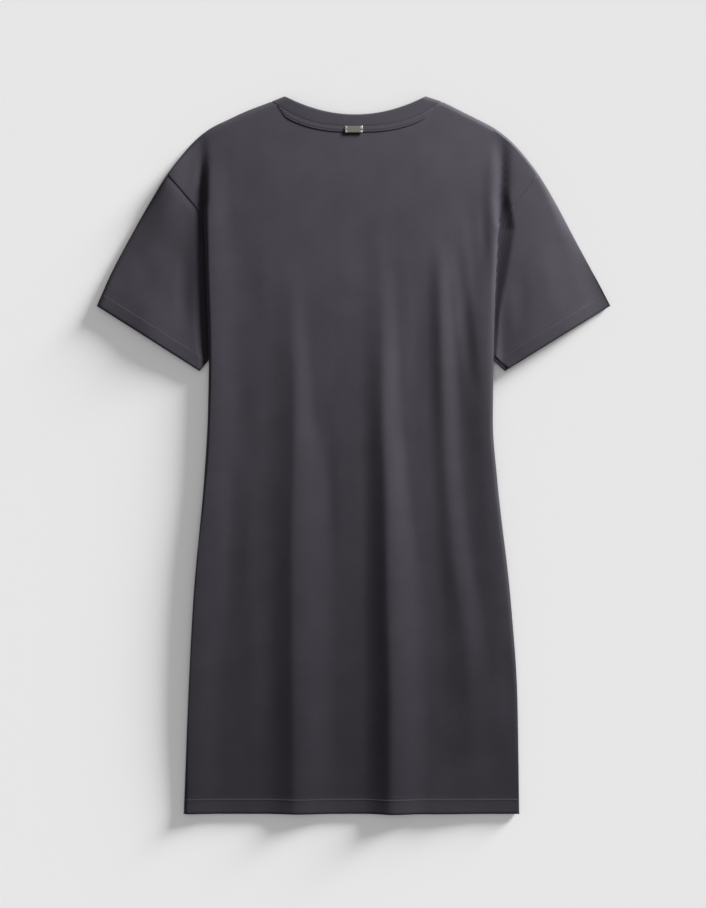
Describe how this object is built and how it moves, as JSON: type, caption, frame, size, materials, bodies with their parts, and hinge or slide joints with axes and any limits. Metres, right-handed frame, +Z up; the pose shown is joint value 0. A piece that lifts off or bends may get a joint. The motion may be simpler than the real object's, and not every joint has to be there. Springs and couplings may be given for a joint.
{
  "type": "t-shirt dress",
  "caption": "Short-sleeved crew-neck T-shirt dress in jersey, laid flat with its back up, with long soft folds down the skirt.",
  "frame": {"origin": "on the surface that the dress lies on, below the middle of its outline", "axes": "+Z up from the surface, +Y along the garment towards the neck, +X to the right as the back is seen from above"},
  "size_m": [0.6568, 0.9184, 0.0199],
  "materials": {
    "jersey": "matt charcoal cotton jersey, fine knit",
    "rib": "matt charcoal cotton rib",
    "bar": "satin pewter"
  },
  "bodies": {
    "root": {"front_panel": "jersey", "back_panel": "jersey", "left_sleeve": "jersey", "right_sleeve": "jersey", "neck_rib": "rib", "neck_tape": "rib", "neck_bar": "bar"}
  },
  "joints": []
}
